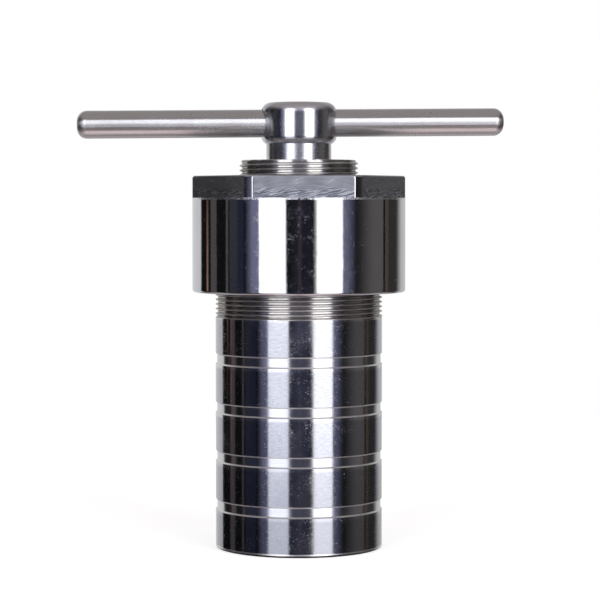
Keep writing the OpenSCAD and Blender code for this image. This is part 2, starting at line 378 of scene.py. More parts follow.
def vessel_thread_ends(radius, z):
    """The thread runs out to full size below, and is bevelled to its root at the rim."""
    run_out = np.clip((z - vessel_thread_low) / (run_out_share * vessel_pitch), 0, 1)
    lead_in = vessel_r - thread_depth_share * vessel_pitch - root_room + (vessel_high.z - z)
    return np.minimum(vessel_r - (vessel_r - radius) * run_out, lead_in)


vessel = turned("vessel", [
    plain(*outline),
    thread(vessel_r, vessel_pitch, vessel_thread_low, vessel_thread_low, vessel_high.z, vessel_thread_ends),
    plain(
        (vessel_bore_r + rim_bevel, vessel_high.z), (vessel_bore_r, vessel_high.z - rim_bevel),
        (vessel_bore_r, vessel_floor_z), (push_hole_r, vessel_floor_z), (push_hole_r, vessel_low.z),
    ),
], closed=False)


def effect(name, outputs, **inputs):
    """Starts a node group for an effect that several finishes share, with its named sockets."""
    group = bpy.data.node_groups.new(name, "ShaderNodeTree")
    group.interface.new_socket("Place", in_out="INPUT", socket_type="NodeSocketVector")
    for label, value in inputs.items():
        socket = group.interface.new_socket(label, in_out="INPUT", socket_type="NodeSocketFloat")
        socket.default_value = value
    for label in outputs:
        group.interface.new_socket(label, in_out="OUTPUT", socket_type="NodeSocketFloat")
    nodes = Nodes(group)
    return group, nodes, nodes.add("NodeGroupInput").outputs, nodes.add("NodeGroupOutput")


def stretched(nodes, place, across, along):
    """Scales a place so that one unit is the length across in X and Y, and along in Z."""
    parts = nodes.add("ShaderNodeSeparateXYZ", Vector=place)
    return nodes.add(
        "ShaderNodeCombineXYZ",
        X=nodes.math("DIVIDE", parts.outputs["X"], across),
        Y=nodes.math("DIVIDE", parts.outputs["Y"], across),
        Z=nodes.math("DIVIDE", parts.outputs["Z"], along),
    )


# Fine rings that a tool or a buffing belt leaves round a turned piece.
tool_marks, nodes, given, result = effect("tool_marks", ["Height"], Run=0.02, Spacing=0.0003)
grid = stretched(nodes, given["Place"], given["Run"], given["Spacing"])
marks = nodes.add("ShaderNodeTexNoise", Vector=grid, Scale=1.0, Detail=2.0, Roughness=0.65)
nodes.put(result, "Height", marks.outputs["Fac"])

# Hairline scratches from handling: thin straight marks in four directions, in patches.
hairlines, nodes, given, result = effect("hairlines", ["Mask"], Length=0.006, Width=0.00022, Amount=1.0)
scratch_turns = [((0.1, 1, 0), 38), ((0.2, 1, 0.1), -47), ((1, 0.2, 0), 71), ((-0.2, 1, 0), 12)]
patches = nodes.add("ShaderNodeTexNoise", Vector=given["Place"], Scale=210.0, Detail=3.0, Roughness=0.7)
total = 0.0
for axis, turn in scratch_turns:
    turned_place = nodes.add(
        "ShaderNodeVectorRotate", Vector=given["Place"], Axis=axis, Angle=math.radians(turn))
    grid = stretched(nodes, turned_place, given["Length"], given["Width"])
    line = nodes.add("ShaderNodeTexNoise", Vector=grid, Scale=1.0, Detail=1.0, Roughness=0.5)
    total = nodes.math("ADD", total, nodes.ramp(line.outputs["Fac"], 0.69, 0.77))
patch = nodes.ramp(patches.outputs["Fac"], 0.36, 0.74)
marked = nodes.math("MULTIPLY", nodes.math("MULTIPLY", total, patch), given["Amount"])
nodes.put(result, "Mask", nodes.math("MINIMUM", marked, 1.0))

# Specks: nicks, burrs and dust, each a tiny round spot.
specks, nodes, given, result = effect("specks", ["Mask"], Spacing=0.0016, Size=0.16, Share=0.3)
grid = stretched(nodes, given["Place"], given["Spacing"], given["Spacing"])
cells = nodes.add("ShaderNodeTexVoronoi", Vector=grid, Scale=1.0)
pick = nodes.add("ShaderNodeSeparateColor", Color=cells.outputs["Color"])
chosen = nodes.math("LESS_THAN", pick.outputs["Red"], given["Share"])
size = nodes.math("MULTIPLY", given["Size"], nodes.math("ADD", pick.outputs["Green"], 0.4))
spot = nodes.math("LESS_THAN", cells.outputs["Distance"], size)
nodes.put(result, "Mask", nodes.math("MULTIPLY", chosen, spot))

# Smudges: the broad haze that a cloth and fingers leave on polished steel.
smudges, nodes, given, result = effect("smudges", ["Mask"], Size=0.012)
grid = stretched(nodes, given["Place"], given["Size"], given["Size"])
haze = nodes.add("ShaderNodeTexNoise", Vector=grid, Scale=1.0, Detail=4.0, Roughness=0.55)
nodes.put(result, "Mask", nodes.ramp(haze.outputs["Fac"], 0.38, 0.68))


def finish(name, **sockets):
    """Starts a finish, with the shader's sockets that are the same all over the surface."""
    material = bpy.data.materials.new(name)
    material.use_nodes = True
    material.node_tree.nodes.clear()
    nodes = Nodes(material.node_tree)
    shader = nodes.add("ShaderNodeBsdfPrincipled", **sockets)
    nodes.add("ShaderNodeOutputMaterial", Surface=shader)
    place = nodes.add("ShaderNodeTexCoord").outputs["Object"]
    return material, nodes, shader, place


def steel(name, stretch=0.0):
    """Starts a steel finish. Its gloss spreads along the turning axis by the given stretch."""
    return finish(name, Metallic=1.0, Anisotropic=stretch, Anisotropic_Rotation=0.25)


def group(nodes, tree, output, **inputs):
    """Places a shared effect with its own values, and gives one of its outputs."""
    return nodes.add("ShaderNodeGroup", {"node_tree": tree}, **inputs).outputs[output]


def relief(nodes, shader, *layers):
    """Adds up (height 0 to 1, depth in metres) layers, and bends the shader's normal by them."""
    total = 0.0
    for height, depth in layers:
        total = nodes.math("MULTIPLY_ADD", height, depth, total)
    nodes.put(shader, "Normal", nodes.add("ShaderNodeBump", Height=total, Distance=1.0, Strength=1.0))


def coat(piece, material, where=None):
    """Gives a finish to a whole piece, or to the faces whose centre passes a test."""
    piece.data.materials.append(material)
    slot = len(piece.data.materials) - 1
    for face in piece.data.polygons:
        if where is None or where(face.center):
            face.material_index = slot


# The lands: buffed round, hazy and nicked, with a painted highlight along the upper edge of each.
# They get darker towards the foot as painted shade, and the foot's rounding shows a painted
# highlight line over a painted shadow line.
land_dark = (0.38, 0.385, 0.42, 1)
land_light = (0.48, 0.485, 0.53, 1)
land_top_highlight_colour = (0.66, 0.66, 0.69, 1)
low_land_shade_colour = (0.28, 0.285, 0.31, 1)
low_land_shade_top = 0.065
foot_highlight_colour = (0.95, 0.95, 0.96, 1)
under_foot_shadow_colour = (0.015, 0.015, 0.016, 1)
nick_colour = (0.86, 0.87, 0.9, 1)
buffed_land, nodes, shader, place = steel("buffed_land", stretch=0.85)
rings = group(nodes, tool_marks, "Height", Place=place, Run=0.0022, Spacing=0.00027)
lines = group(nodes, hairlines, "Mask", Place=place, Length=0.0011, Width=0.0001)
spots = group(nodes, specks, "Mask", Place=place, Spacing=0.001, Size=0.095, Share=0.2)
haze = group(nodes, smudges, "Mask", Place=place, Size=0.011)
height = nodes.add("ShaderNodeSeparateXYZ", Vector=place).outputs["Z"]
from_groove = nodes.math("SUBTRACT", height, groove_low)
step = nodes.math("FRACT", nodes.math("DIVIDE", from_groove, groove_step))
tone = nodes.blend(nodes.ramp(rings, 0.25, 0.75), land_dark, land_light)
# Painted highlight: a lighter band along the upper edge of each land.
tone = nodes.blend(nodes.window(step, 0.79, 0.86, 0.90, 0.93), tone, land_top_highlight_colour)
# Painted shade: the lands get darker towards the foot.
tone = nodes.blend(nodes.ramp(height, low_land_shade_top, 0.0, 0.0, 0.7), tone, low_land_shade_colour)
# Painted highlight: a light line on the foot's rounding, where it would mirror the bench.
painted_foot_highlight = nodes.window(height, 0.0008, 0.001, 0.0013, 0.0017)
tone = nodes.blend(painted_foot_highlight, tone, foot_highlight_colour)
# Painted shadow: the bottom of the foot's rounding is near black, for the bench's contact shadow.
tone = nodes.blend(nodes.ramp(height, 0.0009, 0.0006), tone, under_foot_shadow_colour)
wear = nodes.math("MAXIMUM", lines, spots)
nodes.put(shader, "Base Color", nodes.blend(wear, tone, nick_colour))
gloss = nodes.math("MULTIPLY_ADD", haze, 0.10, 0.10)
gloss = nodes.math("MULTIPLY_ADD", painted_foot_highlight, 0.3, gloss)
nodes.put(shader, "Roughness", nodes.math("MULTIPLY_ADD", wear, 0.34, gloss))
relief(nodes, shader, (rings, 0.000003), (lines, -0.000008))
coat(vessel, buffed_land)

# How near to a surface the middle of a face is when it counts as a part of it, and a
# radius well inside the vessel's wall, between the faces of its bore and its outside.
near = 0.0001
mid_wall_r = vessel_bore_r + 0.002

# The groove floors: fine turned and bright.
groove_dark = (0.56, 0.56, 0.59, 1)
groove_light = (0.72, 0.72, 0.75, 1)
bright_groove, nodes, shader, place = steel("bright_groove", stretch=0.6)
rings = group(nodes, tool_marks, "Height", Place=place, Run=0.03, Spacing=0.0005)
nodes.put(shader, "Base Color", nodes.blend(rings, groove_dark, groove_light))
nodes.put(shader, "Roughness", nodes.math("MULTIPLY_ADD", rings, 0.08, 0.13))
relief(nodes, shader, (rings, 0.00001))


def in_a_groove(c):
    return c.xy.length > mid_wall_r and any(
        abs(c.z - middle) < groove_half - near / 5 for middle in groove_middles)


coat(vessel, bright_groove, in_a_groove)

# The groove shoulders: their edges were broken with a file, which left them bright.
filed_dark = (0.6, 0.6, 0.61, 1)
filed_light = (0.8, 0.8, 0.81, 1)
filed_edge, nodes, shader, place = steel("filed_edge")
rings = group(nodes, tool_marks, "Height", Place=place, Run=0.004, Spacing=0.0003)
nodes.put(shader, "Base Color", nodes.blend(rings, filed_dark, filed_light))
nodes.put(shader, "Roughness", nodes.math("MULTIPLY_ADD", rings, 0.1, 0.24))
relief(nodes, shader, (rings, 0.000008))


def on_a_shoulder(c):
    return 2 * foot_round < c.z < vessel_thread_low - near and (
        vessel_r - groove_depth + near < c.xy.length < vessel_r - near)


coat(vessel, filed_edge, on_a_shoulder)


def long_side(nodes, a, b):
    """The long side of a right angle with the sides a and b."""
    square = nodes.math("ADD", nodes.math("POWER", a, 2.0), nodes.math("POWER", b, 2.0))
    return nodes.math("SQRT", square)


def from_axis(nodes, place):
    """Distance of a place from the turning axis."""
    parts = nodes.add("ShaderNodeSeparateXYZ", Vector=place)
    return long_side(nodes, parts.outputs["X"], parts.outputs["Y"])


flank_dark = (0.5, 0.49, 0.48, 1)
flank_light = (0.68, 0.67, 0.655, 1)
flank_sheen = (0.62, 0.61, 0.6, 1)
crest_colour = (0.93, 0.92, 0.9, 1)
burr_colour = (0.9, 0.89, 0.88, 1)


def cut_thread(name, crest_r):
    """Finish of a thread as the tool left it: warm grey flanks with torn, bright crests."""
    material, nodes, shader, place = steel(name, stretch=0.95)
    nodes.put(shader, "Specular Tint", flank_sheen)
    rings = group(nodes, tool_marks, "Height", Place=place, Run=0.012, Spacing=0.0002)
    tears = group(nodes, tool_marks, "Height", Place=place, Run=0.0025, Spacing=0.0006)
    burrs = group(nodes, specks, "Mask", Place=place, Spacing=0.0011, Size=0.15, Share=0.12)
    haze = group(nodes, smudges, "Mask", Place=place, Size=0.006)
    crest = nodes.ramp(from_axis(nodes, place), crest_r - 0.0003, crest_r - 0.00006)
    crest = nodes.math("MULTIPLY", crest, nodes.ramp(tears, 0.25, 0.5, 0.45, 1.0))
    tone = nodes.blend(rings, flank_dark, flank_light)
    tone = nodes.blend(crest, tone, crest_colour)
    nodes.put(shader, "Base Color", nodes.blend(burrs, tone, burr_colour))
    gloss = nodes.math("MULTIPLY_ADD", haze, 0.06, 0.2)
    nodes.put(shader, "Roughness", nodes.math("MULTIPLY_ADD", crest, 0.24, gloss))
    relief(nodes, shader, (rings, 0.000002), (burrs, 0.000006))
    return material


def on_vessel_thread(c):
    return c.z > vessel_thread_low + 4 * near and c.xy.length > mid_wall_r


coat(vessel, cut_thread("vessel_thread", vessel_r), on_vessel_thread)

# The bore and the inner floor: bored to size, even fine rings.
bored_dark = (0.5, 0.5, 0.51, 1)
bored_light = (0.66, 0.66, 0.67, 1)
bored, nodes, shader, place = steel("bored", stretch=0.5)
rings = group(nodes, tool_marks, "Height", Place=place, Run=0.05, Spacing=0.00035)
haze = group(nodes, smudges, "Mask", Place=place, Size=0.015)
nodes.put(shader, "Base Color", nodes.blend(rings, bored_dark, bored_light))
nodes.put(shader, "Roughness", nodes.math("MULTIPLY_ADD", haze, 0.1, 0.26))
relief(nodes, shader, (rings, 0.000012))
coat(vessel, bored, lambda c: c.xy.length < vessel_bore_r + near)
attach(vessel, "vessel")
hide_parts("vessel_body")

# ---------------------------------------------------------------------------
# The bottom disc: a loose plate of turned stainless steel between the vessel's floor
# and the cup. A rod through the hole in the floor pushes it up and the cup out.
# ---------------------------------------------------------------------------
disc_bevel = 0.0005


def disc_outline(radius, low, high, bevel):
    """Outline of a plain disc with a bevel along both edges."""
    return [(0, low), (radius - bevel, low), (radius, low + bevel),
            (radius, high - bevel), (radius - bevel, high), (0, high)]


disc_low, disc_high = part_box("bottom_disc")
bottom_disc = turned("disc_under_cup", [
    plain(*disc_outline(disc_high.x, disc_low.z, disc_high.z, disc_bevel)),
], closed=False)

# Fine turned and a little hazy. The rings lie closer on a face than on a wall.
faced_dark = (0.56, 0.56, 0.575, 1)
faced_light = (0.76, 0.76, 0.775, 1)
face_ring_share = 1.4


def faced(name, low_roughness, high_roughness, depth):
    """Finish of a face that was turned flat: its rings lie side by side like a record's."""
    material, nodes, shader, place = steel(name, stretch=0.3)
    parts = nodes.add("ShaderNodeSeparateXYZ", Vector=place)
    outward = nodes.math("MULTIPLY_ADD", from_axis(nodes, place), face_ring_share, parts.outputs["Z"])
    spiral = nodes.add("ShaderNodeCombineXYZ", X=parts.outputs["X"], Y=parts.outputs["Y"], Z=outward)
    rings = group(nodes, tool_marks, "Height", Place=spiral, Run=0.04, Spacing=0.0003)
    haze = group(nodes, smudges, "Mask", Place=place, Size=0.01)
    gloss = nodes.math("MULTIPLY_ADD", haze, high_roughness - low_roughness, low_roughness)
    nodes.put(shader, "Base Color", nodes.blend(rings, faced_dark, faced_light))
    nodes.put(shader, "Roughness", gloss)
    relief(nodes, shader, (rings, depth))
    return material


turned_steel = faced("faced_steel", 0.24, 0.36, 0.00001)
coat(bottom_disc, turned_steel)
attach(bottom_disc, "vessel")
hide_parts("bottom_disc")

# ---------------------------------------------------------------------------
# The liner cup: turned from white PTFE, with a thick floor, a rounded inside corner
# and a bevelled rim. It holds the charge and drops into the vessel's bore.
# ---------------------------------------------------------------------------
liner_bevel = 0.0008
cup_wall = 0.004
cup_floor = 0.008
cup_corner = 0.005

cup_low, cup_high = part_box("liner_cup")
cup_r = cup_high.x
cup_inside_r = cup_r - cup_wall
cup_inside_z = cup_low.z + cup_floor
liner_cup = turned("cup", [
    plain(
        (0, cup_low.z), (cup_r - liner_bevel, cup_low.z), (cup_r, cup_low.z + liner_bevel),
        (cup_r, cup_high.z - liner_bevel), (cup_r - liner_bevel, cup_high.z),
        (cup_inside_r + liner_bevel, cup_high.z), (cup_inside_r, cup_high.z - liner_bevel),
        *arc(cup_inside_r - cup_corner, cup_inside_z + cup_corner, cup_corner, 0, -90, 10),
        (0, cup_inside_z),
    ),
], closed=False)

# White and waxy, with the fine lines of the lathe tool and a faint grey bloom.
ptfe_dark = (0.86, 0.86, 0.84, 1)
ptfe_light = (0.93, 0.93, 0.915, 1)
ptfe_bloom = (0.84, 0.84, 0.81, 1)
ptfe, nodes, shader, place = finish("turned_ptfe", IOR=1.36)
rings = group(nodes, tool_marks, "Height", Place=place, Run=0.05, Spacing=0.00045)
haze = group(nodes, smudges, "Mask", Place=place, Size=0.014)
tone = nodes.blend(rings, ptfe_dark, ptfe_light)
nodes.put(shader, "Base Color", nodes.blend(nodes.math("MULTIPLY", haze, 0.35), tone, ptfe_bloom))
nodes.put(shader, "Roughness", nodes.math("MULTIPLY_ADD", haze, 0.12, 0.38))
relief(nodes, shader, (rings, 0.000015))
coat(liner_cup, ptfe)
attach(liner_cup, "vessel")
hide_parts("liner_cup")

# ---------------------------------------------------------------------------
# The liner's lid: a PTFE disc that lies on the cup's rim, with a short plug that
# centres it in the cup. The press plate squeezes it, and so it seals.
# ---------------------------------------------------------------------------
plug_gap = 0.0003

lid_low, lid_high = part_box("liner_lid")
lid_r = lid_high.x
plug_r = cup_inside_r - plug_gap
liner_lid = turned("cup_lid", [
    plain(
        (0, lid_low.z), (plug_r - liner_bevel, lid_low.z), (plug_r, lid_low.z + liner_bevel),
        (plug_r, cup_high.z), (lid_r - liner_bevel, cup_high.z), (lid_r, cup_high.z + liner_bevel),
        (lid_r, lid_high.z - liner_bevel), (lid_r - liner_bevel, lid_high.z), (0, lid_high.z),
    ),
], closed=False)
coat(liner_lid, ptfe)
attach(liner_lid, "lid")
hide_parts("liner_lid")

# ---------------------------------------------------------------------------
# The press plate: a turned steel disc between press screw and lid. It hangs on the
# screw's nose by a retaining ring, which has room in the recess under it.
# ---------------------------------------------------------------------------
nose_r = 0.008
nose_gap = 0.0003
recess_r = 0.0123
recess_depth = 0.003

plate_low, plate_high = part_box("press_plate")
plate_r = plate_high.x
nose_hole_r = nose_r + nose_gap
web_z = plate_low.z + recess_depth
press_plate = turned("pressing_plate", [
    plain(
        (recess_r, plate_low.z), (plate_r - liner_bevel, plate_low.z), (plate_r, plate_low.z + liner_bevel),
        (plate_r, plate_high.z - liner_bevel), (plate_r - liner_bevel, plate_high.z),
        (nose_hole_r, plate_high.z), (nose_hole_r, web_z), (recess_r, web_z),
    ),
], closed=True)
coat(press_plate, turned_steel)
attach(press_plate, "plate")
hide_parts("press_plate")

# ---------------------------------------------------------------------------
# The press screw: one turning of stainless steel. A stub of right-hand thread runs in
# the cap, the nose under it carries the press plate, and the polished head on its
# neck is cross-drilled for the T-bar.
# ---------------------------------------------------------------------------
screw_r = 0.0256
screw_pitch = 0.002
screw_thread_turn = 0.5
screw_stand = 0.0067
neck_r = 0.014
neck_height = 0.007
head_round = 0.0044
head_foot_round = 0.0034
head_foot_height = 0.0032
ring_seat = 0.0004
ring_thick = 0.001
ring_play = 0.0002
seat_slack = 0.0001
head_r = 0.01625
bar_r = 0.006
bar_gap = 0.0003
bar_turn = math.radians(4)
mouth_bevel = 0.0004

screw_low, screw_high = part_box("press_screw")
cap_low, cap_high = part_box("screw_cap")
neck_z = cap_high.z + screw_stand
head_z = neck_z + neck_height
hole_z = (head_z + screw_high.z) / 2
seat_z = web_z - ring_play - ring_thick
seat_r = nose_r - ring_seat
screw_thread_start = plate_high.z + screw_pitch * screw_thread_turn


def screw_thread_ends(radius, z):
    """The thread is bevelled to its root at both ends."""
    root = screw_r - thread_depth_share * screw_pitch
    foot_lead = root - root_room + (z - plate_high.z)
    top_lead = root - root_room / 2 + (neck_z - z)
    return np.minimum(np.minimum(radius, foot_lead), top_lead)


foot_start = math.degrees(math.acos(head_foot_height / head_foot_round))
press_screw = turned("screw", [
    plain(
        (0, screw_low.z), (nose_r, screw_low.z), (nose_r, seat_z), (seat_r, seat_z),
        (seat_r, seat_z + ring_thick + seat_slack), (nose_r, seat_z + ring_thick + seat_slack),
        (nose_r, plate_high.z),
    ),
    thread(screw_r, screw_pitch, screw_thread_start, plate_high.z, neck_z, screw_thread_ends),
    plain(
        (neck_r, neck_z), (neck_r, head_z),
        *arc(head_r - head_foot_round, head_z + head_foot_height, head_foot_round, foot_start - 90, 0, 10),
        *arc(head_r - head_round, screw_high.z - head_round, head_round, 0, 90, 12),
        (0, screw_high.z),
    ),
], closed=False)


cutter_columns = np.linspace(0, 2 * math.pi, 96, endpoint=False)


def drill(piece, name, cutter_outline, place):
    """Bores a hole through a piece. The cutter is turned, then moved to its place."""
    cutter = turned(name + "_cutter", [plain(*cutter_outline, angles=cutter_columns)], closed=False)
    cutter.matrix_world = place
    cut = piece.modifiers.new("bore", "BOOLEAN")
    cut.object = cutter
    cut.solver = "EXACT"
    piece.modifiers.move(len(piece.modifiers) - 1, 0)
    bpy.context.view_layer.update()
    piece.modifiers["level"].show_viewport = False
    mesh = bmesh.new()
    mesh.from_mesh(piece.evaluated_get(bpy.context.evaluated_depsgraph_get()).to_mesh())
    for old in (cutter, piece):
        data = old.data
        bpy.data.objects.remove(old)
        bpy.data.meshes.remove(data)
    bmesh.ops.dissolve_degenerate(mesh, edges=mesh.edges, dist=weld / 2)
    return finished(name, mesh)


hole_r = bar_r + bar_gap
reach = head_r + 0.002
mouth_r = hole_r + reach - head_r + mouth_bevel
across_head = Matrix.Rotation(bar_turn, 4, "Z") @ Matrix.Rotation(math.pi / 2, 4, "Y")
press_screw = drill(press_screw, "press_screw_with_head", [
    (0, -reach), (mouth_r, -reach), (hole_r, -head_r + mouth_bevel),
    (hole_r, head_r - mouth_bevel), (mouth_r, reach), (0, reach),
], Matrix.Translation((0, 0, hole_z)) @ across_head)

# The head and neck: buffed by hand, so their gloss is softer than the cap's. The neck and
# the rounding on top were reached less well and are duller.
head_colour = (0.64, 0.64, 0.67, 1)
head_haze = (0.56, 0.57, 0.61, 1)
buffed_head, nodes, shader, place = steel("buffed_head", stretch=0.2)
haze = group(nodes, smudges, "Mask", Place=place, Size=0.009)
lines = group(nodes, hairlines, "Mask", Place=place, Length=0.0016, Width=0.0001, Amount=0.8)
spots = group(nodes, specks, "Mask", Place=place, Spacing=0.0012, Size=0.085, Share=0.14)
height = nodes.add("ShaderNodeSeparateXYZ", Vector=place).outputs["Z"]
on_neck = nodes.ramp(height, head_z + 0.0003, head_z - 0.0001)
on_top = nodes.ramp(height, screw_high.z - head_round, screw_high.z - head_round / 2)
tone = nodes.blend(nodes.math("MULTIPLY", haze, 0.5), head_colour, head_haze)
nodes.put(shader, "Base Color", nodes.blend(spots, tone, nick_colour))
gloss = nodes.math("MULTIPLY_ADD", on_neck, 0.07, nodes.math("MULTIPLY_ADD", haze, 0.06, 0.15))
gloss = nodes.math("MULTIPLY_ADD", on_top, 0.2, gloss)
nodes.put(shader, "Roughness", nodes.math("MULTIPLY_ADD", lines, 0.3, gloss))
relief(nodes, shader, (haze, 0.000002), (lines, -0.000004))
coat(press_screw, buffed_head)

# The thread is left as cut, what lies under it is plain turned, and the hole is bored.
screw_foot_z = plate_high.z + 2 * near
hole_axis = Vector((math.cos(bar_turn), math.sin(bar_turn), 0))
hole_middle = Vector((0, 0, hole_z))


def on_screw_thread(c):
    return screw_foot_z < c.z < neck_z - near / 2 and c.xy.length > nose_r + 10 * near


def in_cross_hole(c):
    from_hole = (c - hole_middle).cross(hole_axis).length
    return from_hole < hole_r + near and c.xy.length < head_r - mouth_bevel


coat(press_screw, cut_thread("screw_thread", screw_r), on_screw_thread)
coat(press_screw, turned_steel, lambda c: c.z <= screw_foot_z)
coat(press_screw, bored, in_cross_hole)
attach(press_screw, "screw")
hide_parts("press_screw")

# ---------------------------------------------------------------------------
# The retaining ring: a bought spring steel ring with two plier eyes, stamped from
# strip. It snaps into the nose's seat and keeps the press plate on the screw.
# ---------------------------------------------------------------------------
strip_dark = (0.3, 0.3, 0.32, 1)
strip_light = (0.46, 0.455, 0.45, 1)
spring_steel, nodes, shader, place = steel("spring_strip")
haze = group(nodes, smudges, "Mask", Place=place, Size=0.002)
rings = group(nodes, tool_marks, "Height", Place=place, Run=0.0008, Spacing=0.0002)
nodes.put(shader, "Base Color", nodes.blend(haze, strip_dark, strip_light))
nodes.put(shader, "Roughness", nodes.math("MULTIPLY_ADD", haze, 0.16, 0.3))
relief(nodes, shader, (rings, 0.000008))
retaining_ring = bpy.data.objects["retaining_ring"]
for slot in retaining_ring.material_slots:
    slot.material = spring_steel

# ---------------------------------------------------------------------------
# The screw cap: turned from one bar of stainless steel, threaded on the vessel below
# and on the press screw above. Six flats are milled on its top end for a wrench, and
# end in a narrow shelf on the polished outside.
# ---------------------------------------------------------------------------
cap_r = cap_high.x
hex_half = 0.04075
hex_height = 0.0095
hex_bevel = 0.0008
corner_break = 0.0003
corner_drop = corner_break * 0.12
cap_round = 0.0012
cap_mouth_bevel = 0.0012
cap_end = 0.0123
rim_room = 0.004
relief_depth = 0.001
thread_gap = 0.0002
plate_room = 0.0033
sixth = math.pi / 3
edge_steps = 6
chamber_r = cup_r + plate_room
hex_z = cap_high.z - hex_height
ceiling_z = cap_high.z - cap_end
cap_bore_r = vessel_r + thread_gap
screw_bore_r = screw_r + thread_gap
step_z = vessel_high.z + rim_room

# Columns of points round the cap: even ones, and three at each end of each flat.
corner = math.acos(hex_half / cap_r)
break_half = corner_break / cap_r
corners = np.array([k * math.pi / 3 - math.pi / 2 + side * corner for k in range(6) for side in (-1, 1)])
even = np.linspace(-math.pi, math.pi, turn_steps, endpoint=False)
apart = np.abs((even[:, None] - corners[None, :] + math.pi) % (2 * math.pi) - math.pi).min(axis=1)
cap_columns = np.sort(np.concatenate([
    even[apart > 2.2 * break_half],
    *[(corners + shift * break_half + math.pi) % (2 * math.pi) - math.pi for shift in (-1, 0, 1)],
]))
to_flat = (cap_columns + math.pi / 2 + sixth / 2) % sixth - sixth / 2


def hexagon(half, radius):
    """Distance to the outline of a disc with six flats, a broken corner at each end of a flat."""
    outline = np.minimum(half / np.cos(to_flat), radius)
    at_corner = np.abs(np.abs(to_flat) - corner) < break_half / 10
    return np.where(at_corner, outline - corner_drop, outline)


def cap_ring(radius, z):
    return ring(radius, z, cap_columns)


def cap_rings(*outline):
    return plain(*outline, angles=cap_columns)


# The upper edge, bevelled along the flats and rounded between them.
hex_edge = []
for turn in np.radians(np.linspace(0, 90, edge_steps + 1)):
    half = hex_half - hex_bevel * (1 - math.cos(turn))
    radius = cap_r - cap_round * (1 - math.cos(turn))
    edge_z = cap_high.z - hex_bevel * (1 - math.sin(turn))
    strip_z = cap_high.z - cap_round * (1 - math.sin(turn))
    outline = hexagon(half, radius)
    on_flat = np.clip((cap_r - hexagon(hex_half, cap_r)) / (2 * corner_break), 0, 1)
    hex_edge.append(cap_ring(outline, strip_z + (edge_z - strip_z) * on_flat))


def inside_thread(bore_r, pitch, start, low, high, trim):
    """Rings of a thread in a bore, from the top down. It runs in step with the one it fits."""
    part = thread(bore_r, pitch, start, low, high, trim, cap_columns)
    return {"rings": part["rings"][::-1], "lead": -part["lead"]}


def cap_thread_ends(radius, z):
    """The cap's lower thread ends in a bevelled mouth below, and fades out above."""
    mouth = cap_bore_r + cap_mouth_bevel - (z - cap_low.z)
    return np.maximum(radius, np.maximum(mouth, cap_bore_r - (vessel_high.z - z)))


def screw_bore_ends(radius, z):
    """The screw's bore has a bevelled mouth on top, and its thread fades out below."""
    top_bevel = screw_bore_r + cap_mouth_bevel - (cap_high.z - z)
    return np.maximum(radius, np.maximum(top_bevel, screw_bore_r - (z - ceiling_z)))


outside = cap_rings(*arc(cap_r - cap_round, cap_low.z + cap_round, cap_round, -90, 0, 8), (cap_r, hex_z))
screw_cap = turned("cap", [
    outside,
    {"rings": [cap_ring(hexagon(hex_half, cap_r), hex_z), *hex_edge], "lead": 0},
    inside_thread(screw_bore_r, screw_pitch, screw_thread_start, ceiling_z, cap_high.z, screw_bore_ends),
    cap_rings((chamber_r, ceiling_z), (chamber_r, step_z), (cap_bore_r + relief_depth, step_z),
              (cap_bore_r + relief_depth, vessel_high.z)),
    inside_thread(cap_bore_r, vessel_pitch, vessel_thread_low, cap_low.z, vessel_high.z, cap_thread_ends),
], closed=True)

# The mirror polish, with smudges, hairlines and a few nicks. The milling cutter tore its
# upper edge, at the shelf under the flats.
mirror_colour = (0.62, 0.62, 0.65, 1)
mirror_haze = (0.55, 0.56, 0.6, 1)
polished, nodes, shader, place = steel("mirror_polish", stretch=0.3)
lines = group(nodes, hairlines, "Mask", Place=place, Length=0.0015, Width=0.00006, Amount=1.1)
spots = group(nodes, specks, "Mask", Place=place, Spacing=0.001, Size=0.075, Share=0.2)
haze = group(nodes, smudges, "Mask", Place=place, Size=0.013)
burrs = group(nodes, tool_marks, "Height", Place=place, Run=0.0007, Spacing=0.0005)
height = nodes.add("ShaderNodeSeparateXYZ", Vector=place).outputs["Z"]
at_shelf = nodes.window(height, hex_z - 0.0011, hex_z - 0.0006, hex_z + 0.0001, hex_z + 0.0002)
shelf_edge = nodes.math("MULTIPLY", nodes.ramp(burrs, 0.42, 0.5), at_shelf)
frost = group(nodes, smudges, "Mask", Place=place, Size=0.0032)
wear = nodes.math("MAXIMUM", nodes.math("MAXIMUM", lines, spots), shelf_edge)
tone = nodes.blend(nodes.math("MULTIPLY", haze, 0.5), mirror_colour, mirror_haze)
tone = nodes.blend(shelf_edge, tone, nick_colour)
nodes.put(shader, "Base Color", nodes.blend(spots, tone, nick_colour))
gloss = nodes.math("MULTIPLY_ADD", nodes.math("MULTIPLY", frost, haze), 0.035, 0.045)
nodes.put(shader, "Roughness", nodes.math("MULTIPLY_ADD", wear, 0.36, gloss))
relief(nodes, shader, (haze, 0.00001), (lines, -0.000004))
coat(screw_cap, polished)

# The flats: milled with a face cutter, whose marks cross them as wide arcs, then scuffed
# by wrenches. The lower part keeps a coarser, wavy band. The left flats are painted darker
# as shade.
cut_dark = (0.34, 0.35, 0.39, 1)
cut_light = (0.46, 0.47, 0.52, 1)
torn_dark = (0.15, 0.16, 0.2, 1)
torn_light = (0.84, 0.86, 0.92, 1)
left_flat_shade_colour = (0.1, 0.1, 0.105, 1)
scratch_colour = (0.95, 0.95, 0.97, 1)
cutter_sweep = 0.05
milled, nodes, shader, place = steel("milled_flat")
parts = nodes.add("ShaderNodeSeparateXYZ", Vector=place)
around_axis = nodes.math("ARCTAN2", parts.outputs["Y"], parts.outputs["X"])
share = nodes.math("DIVIDE", nodes.math("ADD", around_axis, math.pi / 2 + sixth / 2), sixth)
flat_number = nodes.math("FLOOR", share)
on_flat = nodes.math("MULTIPLY", nodes.math("SUBTRACT", nodes.math("FRACT", share), 0.5), sixth)
